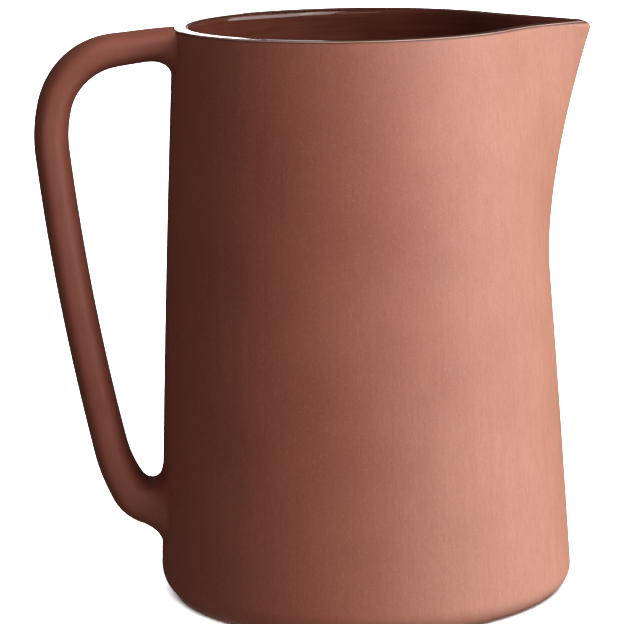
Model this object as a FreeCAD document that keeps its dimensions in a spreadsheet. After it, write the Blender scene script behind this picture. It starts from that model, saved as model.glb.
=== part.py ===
"""A hand-built stoneware pitcher: a tapered wall with a pulled spout, a strap handle and a glazed inside.

Millimetres, +Z up. The origin is the middle of the underside, +X points at the spout and -X at the handle.
The wall stands on a base slab and is a bowed cone up to spout_start. Above that, each level of the wall is
a round back, two flanks and a nose, which are arcs tangent to each other.
"""
import FreeCAD, Part
import math
import os

import Sketcher

# ---------------------------------------------------------------- driving dimensions

DIMENSIONS = {
    "rim_height": (200.0, "height of the rim at the axis of the body"),
    "base_radius": (73.5, "radius of the tapered side carried down to the table"),
    "rim_radius": (61.9, "radius of the tapered side at the rim"),
    "side_bow": (0.6, "how far the side swells outwards at mid height"),
    "foot_round": (6.5, "rounding of the bottom edge"),
    "wall_thickness": (5.2, "fired clay wall"),
    "base_thickness": (8.0, "slab under the wall"),
    "glaze_thickness": (0.4, "liner glaze"),
    "glaze_margin": (1.0, "bare clay round the outside of the rim"),
    "coil_radius": (8.0, "hollow rounding inside, where the wall meets the base"),
    "spout_start": (114.0, "height where the spout starts to leave the side"),
    "spout_reach": (21.6, "how far the spout stands out of the side at the rim"),
    "nose_radius": (7.2, "outside radius of the spout's nose at the rim"),
    "spout_spread": (34.0, "angle either side of +X where the flanks blend into the side"),
    "rim_tilt": (0.78, "dip of the rim towards the spout, in degrees"),
    "lip_start": (45.0, "distance from the axis where the lip starts to dip further"),
    "lip_radius": (1000.0, "radius of that dip in side view"),
    "rim_round": (0.8, "rounding of the rim's outer edge"),
    "strap_width": (25.0, "width of the handle's strap"),
    "strap_thickness": (11.5, "thickness of the strap in the hand"),
    "strap_root_thickness": (9.8, "thickness of the strap at the rim"),
    "strap_taper_length": (48.0, "length over which the strap swells from one to the other"),
    "root_depth": (4.5, "how far the strap's middle line runs on inside the wall at each end"),
    "strap_start_x": (57.5, "where the strap's middle line starts: distance from the axis"),
    "strap_start_height": (196.75, "height of that start"),
    "strap_fall": (6.9, "fall of the strap as it leaves the rim, in degrees"),
    "top_run": (25.5, "straight run along the top"),
    "shoulder_radius": (24.7, "radius of the shoulder"),
    "shoulder_turn": (67.8, "turn of the shoulder, in degrees"),
    "ease_radius": (48.7, "radius of the easing below the shoulder"),
    "ease_turn": (20.3, "turn of that easing, in degrees"),
    "grip_radius": (880.0, "radius of the long run held in the hand"),
    "grip_turn": (6.9, "turn of the long run, in degrees"),
    "heel_ease_radius": (50.6, "radius of the easing into the heel"),
    "heel_ease_turn": (18.9, "turn of that easing, in degrees"),
    "heel_radius": (8.7, "radius of the heel, where the strap turns to the wall"),
    "heel_turn": (48.9, "turn of the heel, in degrees"),
    "heel_run": (10.2, "straight run from the heel into the wall"),
    "top_flare": (2.0, "swelling of the strap where its top root meets the wall"),
    "heel_flare": (4.6, "swelling of the strap where its lower root meets the wall"),
    "flare_length": (4.0, "length over which a swelling dies out"),
    "slip_thickness": (0.5, "layer of slip in each joint"),
    "slip_margin": (1.5, "how far the slip stays inside the edge of its joint"),
}

doc = FreeCAD.newDocument("pitcher")
sizes = doc.addObject("Spreadsheet::Sheet", "Sizes")
for row, (alias, (value, meaning)) in enumerate(DIMENSIONS.items(), start=1):
    sizes.set(f"A{row}", str(value))
    sizes.setAlias(f"A{row}", alias)
    sizes.set(f"B{row}", meaning)
doc.recompute()
evaluator = doc.addObject("App::FeaturePython", "Evaluator")


def number(expression):
    """The value of an expression over the size cells."""
    return float(evaluator.evalExpression(expression))


# ---------------------------------------------------------------- the outline, as expressions over the cells

REACH_POWER = 1.5  # how late the spout leaves the side: its reach grows with this power of the height climbed
NOSE_POWER = 2.5  # how soon the nose turns sharp: its bluntness falls with this power of the height left


def side_radius(height):
    """Outside radius of the tapered side at a height."""
    share = f"(({height}) / Sizes.rim_height)"
    taper = f"(Sizes.rim_radius - Sizes.base_radius) * {share}"
    bow = f"4 * Sizes.side_bow * {share} * (1 - {share})"
    return f"(Sizes.base_radius + {taper} + {bow})"


def spout_level(share):
    """Height, side radius, nose centre and nose radius where `share` of the spout's height is climbed."""
    height = f"(Sizes.spout_start + {share} * (Sizes.rim_height - Sizes.spout_start))"
    side = side_radius(height)
    blunt = max(0.0, 1.0 - share) ** NOSE_POWER
    nose = f"(Sizes.nose_radius + {blunt:.6f} * ({side} - Sizes.nose_radius))"
    centre = f"({side} + {share**REACH_POWER:.6f} * Sizes.spout_reach - {nose})"
    return height, side, centre, nose


# ---------------------------------------------------------------- sketches and bodies


def origin_plane(body, role):
    return next(item for item in body.Origin.OriginFeatures if item.Role == role)


def new_sketch(body, name, role):
    sketch = body.newObject("Sketcher::SketchObject", name)
    sketch.AttachmentSupport = [(origin_plane(body, role), "")]
    sketch.MapMode = "FlatFace"
    return sketch


def arc(centre, radius, start, end):
    circle = Part.Circle(FreeCAD.Vector(centre[0], centre[1], 0), FreeCAD.Vector(0, 0, 1), radius)
    return Part.ArcOfCircle(circle, start, end)


def line(start, end):
    return Part.LineSegment(FreeCAD.Vector(*start, 0), FreeCAD.Vector(*end, 0))


def bind(sketch, kind, *where, to):
    """A dimension of a sketch that follows an expression over the cells."""
    index = sketch.addConstraint(Sketcher.Constraint(kind, *where, number(to)))
    sketch.setExpression(f"Constraints[{index}]", to)


ORIGIN = (-1, 1)
X_AXIS = -1
Y_AXIS = -2
START, END, CENTRE = 1, 2, 3
SPOUT_SHARES = (0.1, 0.22, 0.36, 0.5, 0.65, 0.8, 0.93, 1.06)  # levels of the spout, the last above the rim
NOSE_SPLIT = 8.0  # half angle of the arc that stands for the nose where the outline is still round
BLOCK_REACH = 100.0  # half the width of the block over the rim, clear of the spout and the wall
BLOCK_TOP = 230.0  # top of that block, clear of the vessel forms


def level_sketch(body, name, height):
    sketch = new_sketch(body, name, "XY_Plane")
    sketch.setExpression(".AttachmentOffset.Base.z", height)
    return sketch


def join(sketch, *pairs, kind="Coincident"):
    """Join ends of curves, each pair given as (curve, point, curve, point)."""
    for pair in pairs:
        sketch.addConstraint(Sketcher.Constraint(kind, *pair))


def round_level(body, name, height, inset):
    """A round outline in the same five arcs as a spout level, so that the loft runs arc to arc."""
    sketch = level_sketch(body, name, height)
    radius = f"({side_radius(height)} - {inset})"
    full = 2 * math.pi
    spread = math.radians(number("Sizes.spout_spread"))
    split = math.radians(NOSE_SPLIT)
    turns = (spread, math.pi, full - spread, full - split, full + split, full + spread)
    arcs = [arc((0, 0), number(radius), start, end) for start, end in zip(turns, turns[1:])]
    sketch.addGeometry(arcs, False)
    join(sketch, *((index, CENTRE, *ORIGIN) for index in range(5)))
    join(sketch, *((index, END, index + 1, START) for index in range(4)))
    join(sketch, (0, END, X_AXIS), kind="PointOnObject")
    bind(sketch, "Radius", 0, to=radius)
    contact = f"{radius} * cos(Sizes.spout_spread * 1 deg)"
    for index, point in ((0, START), (1, END), (4, END)):
        bind(sketch, "DistanceX", *ORIGIN, index, point, to=contact)
    for point in (START, END):
        bind(sketch, "DistanceX", *ORIGIN, 3, point, to=f"{radius} * cos({NOSE_SPLIT} deg)")
    return sketch


def spout_outline(body, name, share, inset):
    """Round back, two flanks and a nose at one level of the spout. A flank is hollow or swells outwards."""
    height, side, centre, nose = spout_level(share)
    sketch = level_sketch(body, name, height)
    side_size = number(side)
    nose_x = number(centre)
    nose_size = number(nose)
    gap = number(inset)
    spread = math.radians(number("Sizes.spout_spread"))
    lead = nose_x * math.cos(spread)
    room = nose_size**2 - nose_x**2 + 2 * side_size * lead - side_size**2
    flank = room / (2 * (side_size - lead - nose_size))
    flank_x = (side_size + flank) * math.cos(spread)
    flank_y = (side_size + flank) * math.sin(spread)
    hollow = flank > 0
    if hollow:
        meet = math.atan2(flank_y, flank_x - nose_x)
        upper = arc((flank_x, flank_y), flank + gap, spread + math.pi, meet + math.pi)
        lower = arc((flank_x, -flank_y), flank + gap, math.pi - meet, math.pi - spread)
    else:
        meet = math.atan2(-flank_y, nose_x - flank_x)
        upper = arc((flank_x, flank_y), -flank - gap, meet, spread)
        lower = arc((flank_x, -flank_y), -flank - gap, -spread, -meet)
    back = side_size - gap
    sketch.addGeometry(
        [
            arc((0, 0), back, spread, math.pi),
            arc((0, 0), back, math.pi, 2 * math.pi - spread),
            lower,
            arc((nose_x, 0), nose_size - gap, -meet, meet),
            upper,
        ],
        False,
    )
    first, last = (END, START) if hollow else (START, END)
    join(sketch, (0, CENTRE, *ORIGIN), (1, CENTRE, *ORIGIN), (0, END, 1, START))
    join(sketch, (0, END, X_AXIS), (3, CENTRE, X_AXIS), kind="PointOnObject")
    tangents = ((1, END, 2, first), (2, last, 3, START), (3, END, 4, first), (4, last, 0, START))
    join(sketch, *tangents, kind="Tangent")
    bind(sketch, "Radius", 0, to=f"{side} - {inset}")
    bind(sketch, "Radius", 3, to=f"{nose} - {inset}")
    bind(sketch, "DistanceX", *ORIGIN, 3, CENTRE, to=centre)
    contact = f"({side} - {inset}) * cos(Sizes.spout_spread * 1 deg)"
    bind(sketch, "DistanceX", *ORIGIN, 0, START, to=contact)
    bind(sketch, "DistanceX", *ORIGIN, 1, END, to=contact)
    return sketch


def turned_part(body, name, inset, floor, corner):
    """The round part under the spout: flat floor, rounded corner and a side bowed as a very large arc."""
    sketch = new_sketch(body, f"{name}_profile", "XZ_Plane")
    bow_radius = "(Sizes.rim_height ^ 2 / (8 * Sizes.side_bow))"
    slope = "(Sizes.rim_radius - Sizes.base_radius + 4 * Sizes.side_bow) / Sizes.rim_height"
    bow_height = f"({slope} * {bow_radius})"
    top_radius = f"({side_radius('Sizes.spout_start')} - {inset})"
    top = (number(top_radius), number("Sizes.spout_start"))
    low = number(floor)
    bend = number(corner)
    bow = number(bow_radius)
    bow_y = number(bow_height)
    bow_x = top[0] - math.sqrt(bow**2 - (top[1] - bow_y) ** 2)
    bend_x = bow_x + math.sqrt((bow - bend) ** 2 - (low + bend - bow_y) ** 2)
    touch = math.atan2(low + bend - bow_y, bend_x - bow_x)
    sketch.addGeometry(
        [
            line((0, low), (bend_x, low)),
            arc((bend_x, low + bend), bend, -math.pi / 2, touch),
            arc((bow_x, bow_y), bow, touch, math.atan2(top[1] - bow_y, top[0] - bow_x)),
            line(top, (0, top[1])),
            line((0, top[1]), (0, low)),
        ],
        False,
    )
    join(sketch, (0,), (3,), kind="Horizontal")
    join(sketch, (0, END, 1, START), (1, END, 2, START), kind="Tangent")
    join(sketch, (2, END, 3, START), (3, END, 4, START), (4, END, 0, START))
    join(sketch, (3, END, Y_AXIS), kind="PointOnObject")
    if low > 0:
        join(sketch, (4, END, Y_AXIS), kind="PointOnObject")
        bind(sketch, "DistanceY", *ORIGIN, 0, START, to=floor)
    else:
        join(sketch, (4, END, *ORIGIN))
    bind(sketch, "Radius", 1, to=corner)
    bind(sketch, "Radius", 2, to=bow_radius)
    bind(sketch, "DistanceY", *ORIGIN, 2, CENTRE, to=bow_height)
    bind(sketch, "DistanceX", *ORIGIN, 2, END, to=top_radius)
    bind(sketch, "DistanceY", *ORIGIN, 2, END, to="Sizes.spout_start")
    turned = body.newObject("PartDesign::Revolution", f"{name}_turned")
    turned.Profile = sketch
    turned.ReferenceAxis = (sketch, ["V_Axis"])
    turned.Angle = 360


def vessel_form(name, inset, floor, corner):
    """A solid whose side lies `inset` inside the pitcher's outside, from a floor to just above the rim."""
    body = doc.addObject("PartDesign::Body", name)
    turned_part(body, name, inset, floor, corner)
    levels = [round_level(body, f"{name}_round", "Sizes.spout_start", inset)]
    for index, share in enumerate(SPOUT_SHARES):
        levels.append(spout_outline(body, f"{name}_level_{index}", share, inset))
    loft = body.newObject("PartDesign::AdditiveLoft", f"{name}_spout")
    loft.Profile = levels[0]
    loft.Sections = levels[1:]
    loft.Ruled = False
    return body


def above_rim(name, drop):
    """A block over the rim line, or over the clay of the rim when `drop` is the glaze's thickness."""
    body = doc.addObject("PartDesign::Body", name)
    sketch = new_sketch(body, f"{name}_profile", "XZ_Plane")
    tilt = math.radians(number("Sizes.rim_tilt"))
    height = number(f"Sizes.rim_height - {drop}")
    lip_x = number("Sizes.lip_start")
    lip_radius = number("Sizes.lip_radius")
    lip_y = height - lip_x * math.tan(tilt)
    centre = (lip_x - lip_radius * math.sin(tilt), lip_y - lip_radius * math.cos(tilt))
    front_angle = math.acos((BLOCK_REACH - centre[0]) / lip_radius)
    front_y = centre[1] + lip_radius * math.sin(front_angle)
    back_y = height + BLOCK_REACH * math.tan(tilt)
    sketch.addGeometry(
        [
            line((-BLOCK_REACH, back_y), (lip_x, lip_y)),
            arc(centre, lip_radius, front_angle, math.pi / 2 - tilt),
            line((BLOCK_REACH, front_y), (BLOCK_REACH, BLOCK_TOP)),
            line((BLOCK_REACH, BLOCK_TOP), (-BLOCK_REACH, BLOCK_TOP)),
            line((-BLOCK_REACH, BLOCK_TOP), (-BLOCK_REACH, back_y)),
        ],
        False,
    )
    join(sketch, (0, END, 1, END), kind="Tangent")
    join(sketch, (1, START, 2, START), (2, END, 3, START), (3, END, 4, START), (4, END, 0, START))
    join(sketch, (2,), (4,), kind="Vertical")
    join(sketch, (3,), kind="Horizontal")
    rim_slope = "tan(Sizes.rim_tilt * 1 deg)"
    clay_height = f"Sizes.rim_height - {drop}"
    bind(sketch, "DistanceX", *ORIGIN, 1, END, to="Sizes.lip_start")
    bind(sketch, "DistanceY", *ORIGIN, 1, END, to=f"{clay_height} - Sizes.lip_start * {rim_slope}")
    bind(sketch, "DistanceX", 0, START, *ORIGIN, to=f"{BLOCK_REACH}")
    bind(sketch, "DistanceY", *ORIGIN, 0, START, to=f"{clay_height} + {BLOCK_REACH} * {rim_slope}")
    bind(sketch, "Radius", 1, to="Sizes.lip_radius")
    bind(sketch, "DistanceX", *ORIGIN, 2, END, to=f"{BLOCK_REACH}")
    bind(sketch, "DistanceY", *ORIGIN, 2, END, to=f"{BLOCK_TOP}")
    block = body.newObject("PartDesign::Pad", f"{name}_block")
    block.Profile = sketch
    block.Length = 2 * BLOCK_REACH
    block.Midplane = True
    return body


# ---------------------------------------------------------------- the strap's middle line

STATION_STEP = 10.0  # distance between the strap's sections away from its roots
JOINT_DEPTH = 8.0  # how far a slip plug runs either side of the wall's surface, well through the joint
STRAP_PATH = (
    ("top_run", None),
    ("shoulder_radius", "shoulder_turn"),
    ("ease_radius", "ease_turn"),
    ("grip_radius", "grip_turn"),
    ("heel_ease_radius", "heel_ease_turn"),
    ("heel_radius", "heel_turn"),
    ("heel_run", None),
)


def strap_pieces():
    """Length and curvature of each piece of the strap's middle line."""
    pieces = []
    for size, turn in STRAP_PATH:
        value = number(f"Sizes.{size}")
        if turn is None:
            pieces.append((value, 0.0))
        else:
            pieces.append((value * math.radians(number(f"Sizes.{turn}")), 1.0 / value))
    return pieces


def strap_point(distance):
    """Place and heading of the middle line at a distance from its start, in the XZ plane."""
    x = -number("Sizes.strap_start_x")
    z = number("Sizes.strap_start_height")
    heading = math.pi + math.radians(number("Sizes.strap_fall"))
    for length, curvature in strap_pieces():
        step = min(distance, length)
        turn = curvature * step
        chord = step if turn == 0 else 2 * math.sin(turn / 2) / curvature
        x += chord * math.cos(heading + turn / 2)
        z += chord * math.sin(heading + turn / 2)
        heading += turn
        distance -= step
    return x, z, heading


def strap_length():
    return sum(length for length, _ in strap_pieces())


def plain_thickness(distance):
    """Expression for half the strap's thickness at a distance along it, without the swelling of its roots."""
    climbed = (distance - number("Sizes.root_depth")) / number("Sizes.strap_taper_length")
    share = min(max(climbed, 0.0), 1.0)
    eased = share * share * (3 - 2 * share)
    return f"((1 - {eased:.6f}) * Sizes.strap_root_thickness + {eased:.6f} * Sizes.strap_thickness) / 2"


def root_swelling(size, distance_from_end):
    """Expression for the swelling of a root: whole inside the wall, and dying out from the wall's surface."""
    outside = max(distance_from_end - number("Sizes.root_depth"), 0.0)
    return f"Sizes.{size} * {math.exp(-outside / number('Sizes.flare_length')):.6f}"


def slot_sketch(body, name, distance, half_thickness, half_width, inward=0.0):
    """A round-ended slot across the strap at a distance along it, moved `inward` off its middle line."""
    sketch = new_sketch(body, name, "XZ_Plane")
    x, z, heading = strap_point(distance)
    x -= inward * math.sin(heading)
    z += inward * math.cos(heading)
    upright = FreeCAD.Rotation(FreeCAD.Vector(0, 1, 0), 90)
    turned = FreeCAD.Rotation(FreeCAD.Vector(0, 0, 1), math.degrees(heading))
    sketch.AttachmentOffset = FreeCAD.Placement(FreeCAD.Vector(x, z, 0), turned * upright)
    end = number(half_thickness)
    reach = number(half_width) - end
    sketch.addGeometry(
        [
            arc((reach, 0), end, -math.pi / 2, math.pi / 2),
            line((reach, end), (-reach, end)),
            arc((-reach, 0), end, math.pi / 2, 3 * math.pi / 2),
            line((-reach, -end), (reach, -end)),
        ],
        False,
    )
    tangents = ((0, END, 1, START), (1, END, 2, START), (2, END, 3, START), (3, END, 0, START))
    join(sketch, *tangents, kind="Tangent")
    join(sketch, (0, 2), kind="Equal")
    join(sketch, (0, CENTRE, 2, CENTRE, *ORIGIN), kind="Symmetric")
    join(sketch, (0, CENTRE, X_AXIS), kind="PointOnObject")
    bind(sketch, "Radius", 0, to=half_thickness)
    bind(sketch, "DistanceX", *ORIGIN, 0, CENTRE, to=f"{half_width} - {half_thickness}")
    return sketch


def strap_stations():
    """Distances along the strap at which it gets a section: close together where its roots swell."""
    length = strap_length()
    wall = number("Sizes.root_depth")
    near_root = [0.0] + [wall + out for out in (0.0, 1.5, 3.5, 6.5, 10.5)]
    inner = length - 2 * near_root[-1]
    steps = round(inner / STATION_STEP)
    between = [near_root[-1] + inner * index / steps for index in range(1, steps)]
    return near_root + between + [length - distance for distance in reversed(near_root)]


def strap_form():
    """The whole strap, both ends still running into the wall. Its top root swells only sideways and down."""
    body = doc.addObject("PartDesign::Body", "strap_form")
    sections = []
    for index, distance in enumerate(strap_stations()):
        top = root_swelling("top_flare", distance)
        heel = root_swelling("heel_flare", strap_length() - distance)
        half_thickness = f"({plain_thickness(distance)} + {top} + {heel})"
        half_width = f"(Sizes.strap_width / 2 + {top} + {heel})"
        name = f"strap_section_{index}"
        sections.append(slot_sketch(body, name, distance, half_thickness, half_width, inward=number(top)))
    loft = body.newObject("PartDesign::AdditiveLoft", "strap_loft")
    loft.Profile = sections[0]
    loft.Sections = sections[1:]
    return body


def slip_plug(name, distance):
    """A straight plug through the joint at one end of the strap, a margin inside the strap all round."""
    body = doc.addObject("PartDesign::Body", name)
    half_thickness = f"({plain_thickness(distance)} - Sizes.slip_margin)"
    half_width = "(Sizes.strap_width / 2 - Sizes.slip_margin)"
    sketch = slot_sketch(body, f"{name}_section", distance, half_thickness, half_width)
    pad = body.newObject("PartDesign::Pad", f"{name}_pad")
    pad.Profile = sketch
    pad.Length = 2 * JOINT_DEPTH
    pad.Midplane = True
    return body


# ---------------------------------------------------------------- booleans


def cut(name, base, tool):
    result = doc.addObject("Part::Cut", name)
    result.Base = base
    result.Tool = tool
    return result


def common(name, base, tool):
    result = doc.addObject("Part::Common", name)
    result.Base = base
    result.Tool = tool
    return result


def disc(name, radius, low, high):
    """A round disc about Z between two heights."""
    cylinder = doc.addObject("Part::Cylinder", name)
    cylinder.setExpression("Radius", radius)
    cylinder.setExpression("Height", f"{high} - ({low})")
    cylinder.setExpression("Placement.Base.z", low)
    return cylinder


# ---------------------------------------------------------------- the pieces

CLEARANCE = 5.0  # how far a cutting block stands clear, and how far below the rim its lowest edge may lie
COIL_INSET = 0.2  # how far the coil's outer face stays inside the wall's own inner face
COIL_EDGE = (
    f"({side_radius('(Sizes.base_thickness + Sizes.coil_radius)')} - Sizes.wall_thickness - {COIL_INSET})"
)


def make_base():
    """The base slab with a shallow ring of slip let into its top, under the wall."""
    slab_block = disc("slab_block", f"Sizes.base_radius + {CLEARANCE}", "0", "Sizes.base_thickness")
    slab = common("slab_round", outer_form, slab_block)
    side = f"({side_radius('Sizes.base_thickness')} - Sizes.slip_margin)"
    bed = "Sizes.base_thickness - Sizes.slip_thickness"
    full_ring = disc("slip_disc", side, bed, "Sizes.base_thickness")
    middle = disc("slip_middle", f"{COIL_EDGE} + Sizes.slip_margin", bed, "Sizes.base_thickness")
    slip = cut("base_joint_slip", full_ring, middle)
    return cut("base_slab", slab, slip), slip


def make_wall():
    """The wall, and the coil pressed into the corner between its foot and the slab."""
    slab_block = doc.getObject("slab_block")
    standing = cut("wall_standing", outer_form, slab_block)
    hollow = cut("wall_hollow", standing, bed_form)
    trimmed = cut("wall_trimmed", hollow, above_clay)
    coil_top = "(Sizes.base_thickness + Sizes.coil_radius)"
    coil_block = disc("coil_block", COIL_EDGE, "Sizes.base_thickness", coil_top)
    coil = common("inner_seam_coil", trimmed, coil_block)
    return cut("wall_square", trimmed, coil_block), coil


def round_rim(wall):
    """The wall with the outer edge of its rim rounded."""
    doc.recompute()
    above = number("Sizes.rim_height") - CLEARANCE
    top = max(wall.Shape.Faces, key=lambda face: face.CenterOfMass.z)
    edges = [edge for edge in top.OuterWire.Edges if edge.BoundBox.ZMin > above]
    size = number("Sizes.rim_round")
    rounded = doc.addObject("Part::Fillet", "body_wall")
    rounded.Base = wall
    rounded.Edges = [
        (index, size, size)
        for index, edge in enumerate(wall.Shape.Edges, start=1)
        if any(edge.isSame(picked) for picked in edges)
    ]
    return rounded


def make_liner():
    """The glaze: a coat over the hollow and over the rim, short of the rim's outer edge."""
    over_rim = common("glaze_over_rim", margin_form, above_clay)
    coat = doc.addObject("Part::Fuse", "glaze_coat")
    coat.Base = bed_form
    coat.Tool = over_rim
    return cut("liner_glaze", cut("glaze_trimmed", coat, above_glaze), glaze_form)


def make_handle():
    """The strap, cut to the wall and to the rim, and the slip in its two joints."""
    strap = cut("strap_outside", strap_form(), outer_form)
    strap = cut("strap_trimmed", strap, above_clay)
    slips = []
    wall = number("Sizes.root_depth")
    for name, distance in (("upper_joint_slip", wall), ("lower_joint_slip", strap_length() - wall)):
        layer = common(f"{name}_layer", slip_plug(f"{name}_plug", distance), slip_form)
        slips.append(cut(name, layer, outer_form))
    strap = cut("strap_upper_recess", strap, slips[0])
    return cut("handle", strap, slips[1]), *slips


outer_form = vessel_form("outer_form", "0", "0", "Sizes.foot_round")
bed_form = vessel_form("bed_form", "Sizes.wall_thickness", "Sizes.base_thickness", "Sizes.coil_radius")
glaze_form = vessel_form(
    "glaze_form",
    "(Sizes.wall_thickness + Sizes.glaze_thickness)",
    "(Sizes.base_thickness + Sizes.glaze_thickness)",
    "(Sizes.coil_radius - Sizes.glaze_thickness)",
)
margin_form = vessel_form("margin_form", "Sizes.glaze_margin", "Sizes.base_thickness", "Sizes.coil_radius")
slip_form = vessel_form("slip_form", "(-Sizes.slip_thickness)", "0", "Sizes.foot_round")
above_clay = above_rim("above_clay", "Sizes.glaze_thickness")
above_glaze = above_rim("above_glaze", "0")

base_slab, base_joint_slip = make_base()
wall_square, inner_seam_coil = make_wall()
body_wall = round_rim(wall_square)
liner_glaze = make_liner()
handle, upper_joint_slip, lower_joint_slip = make_handle()
doc.recompute()

NODES = (
    base_slab,
    base_joint_slip,
    body_wall,
    inner_seam_coil,
    handle,
    upper_joint_slip,
    lower_joint_slip,
    liner_glaze,
)

# ---------------------------------------------------------------- checks and files

for item in doc.Objects:
    if "Invalid" in item.State or "Error" in item.State:
        raise RuntimeError(f"{item.Name} did not recompute")
for node in NODES:
    node.Label = node.Name
    if node.Shape.isNull() or not node.Shape.isValid() or len(node.Shape.Solids) != 1:
        raise RuntimeError(f"{node.Label} is not one valid solid")

os.makedirs("parts", exist_ok=True)
for node in NODES:
    node.Shape.exportStep(os.path.join("parts", f"{node.Label}.step"))
    print(f"{node.Label}: {node.Shape.Volume / 1000:.1f} cm3")
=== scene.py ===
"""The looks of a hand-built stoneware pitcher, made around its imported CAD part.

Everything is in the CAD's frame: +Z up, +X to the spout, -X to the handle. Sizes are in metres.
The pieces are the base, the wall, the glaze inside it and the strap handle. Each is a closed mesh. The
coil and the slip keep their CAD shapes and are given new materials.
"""
import math

import bpy
import numpy as np
from mathutils import Matrix, Vector


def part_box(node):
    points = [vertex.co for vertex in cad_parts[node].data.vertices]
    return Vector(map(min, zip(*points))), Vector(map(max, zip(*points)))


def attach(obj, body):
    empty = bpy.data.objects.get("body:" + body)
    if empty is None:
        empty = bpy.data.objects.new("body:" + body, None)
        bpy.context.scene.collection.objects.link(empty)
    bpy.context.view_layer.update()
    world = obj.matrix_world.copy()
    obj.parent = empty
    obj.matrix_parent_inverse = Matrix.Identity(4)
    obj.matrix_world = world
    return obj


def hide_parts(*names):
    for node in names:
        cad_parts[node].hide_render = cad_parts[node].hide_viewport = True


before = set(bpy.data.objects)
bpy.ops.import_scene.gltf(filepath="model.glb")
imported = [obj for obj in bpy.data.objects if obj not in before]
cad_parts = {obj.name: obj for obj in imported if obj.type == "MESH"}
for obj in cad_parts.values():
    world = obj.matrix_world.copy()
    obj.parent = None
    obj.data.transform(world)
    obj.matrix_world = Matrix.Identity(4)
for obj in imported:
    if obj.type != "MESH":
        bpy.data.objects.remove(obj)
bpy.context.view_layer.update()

MM = 0.001

# ---------------------------------------------------------------- sizes

# The design's own shape, as the CAD part has it but for the foot's wear and a spout that reaches further.
SIDE_BOW = 0.6 * MM
FOOT_ROUND = 6.5 * MM
FOOT_WEAR = 3.3 * MM  # further rounding of the foot on the handle's side
WALL_THICKNESS = 5.2 * MM
GLAZE_THICKNESS = 0.4 * MM
COIL_ROUND = 8.0 * MM
SPOUT_START = 114 * MM
SPOUT_REACH = 23.2 * MM  # the CAD part's is 21.6 mm
SPOUT_SPREAD = math.radians(34)
NOSE_RADIUS = 7.2 * MM
REACH_POWER = 1.5
NOSE_POWER = 2.5
RIM_TILT = math.tan(math.radians(0.78))
LIP_START = 45 * MM
LIP_RADIUS = 1000 * MM

# Softening of the edges.
RIM_ROUND = 0.5 * MM
TIP_ROUND = 2.2 * MM  # further rounding of the rim at the spout's tip
TIP_WIDTH = 0.11  # radians of turn over which it dies out
GLAZE_EDGE = 0.2 * MM  # bare clay left between that rounding and the glaze
GLAZE_BEAD = 0.32 * MM  # rounding of the glaze's edge on the rim
MOUTH_ROUND = 1.6 * MM  # rounding of the rim's inner edge
MOUTH_WIPE = 1.0 * MM  # further rounding of it on the side away from the camera
MOUTH_WIPE_TURN = 2.0  # radians of turn to its middle
MOUTH_WIPE_WIDTH = 0.55
FOOT_SHARE = 0.93  # share of the slab's height that the foot's rounding may take


def node_points(node):
    """The vertices of a CAD node as rows of x, y, z."""
    return np.array([vertex.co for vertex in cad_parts[node].data.vertices])


def rim_highest():
    """The highest point of the glaze, which is where the rim meets the handle."""
    points = node_points("liner_glaze")
    return points[points[:, 2].argmax()]


def widest_above(node, height):
    """Half the greatest width of a CAD node above a height, and the height that it is found at."""
    points = node_points(node)
    points = points[points[:, 2] > height]
    point = points[np.abs(points[:, 1]).argmax()]
    return abs(point[1]), point[2]


rim_back = rim_highest()
RIM_HEIGHT = rim_back[2] + RIM_TILT * rim_back[0]
BASE_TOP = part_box("body_wall")[0].z
FLOOR_TOP = BASE_TOP + GLAZE_THICKNESS


def side_swell(height):
    """How far the side bows out of a straight cone at a height."""
    share = height / RIM_HEIGHT
    return 4 * SIDE_BOW * share * (1 - share)


RIM_BAND = 3 * MM  # the side's top radius is read within this distance of the rim
low_radius, low_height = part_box("body_wall")[1].y, BASE_TOP
high_radius, high_height = widest_above("body_wall", RIM_HEIGHT - RIM_BAND)
widening = high_radius - side_swell(high_height) - low_radius + side_swell(low_height)
SLOPE = widening / (high_height - low_height)  # less than 0, as the side narrows upward
BASE_RADIUS = low_radius - side_swell(low_height) - SLOPE * low_height


def side_radius(height):
    """Outside radius of the tapered side."""
    return BASE_RADIUS + SLOPE * height + side_swell(height)


# ---------------------------------------------------------------- the outline of a level

NO_SPOUT = 1e-6  # share of the spout's height below which the side is simply round


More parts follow.
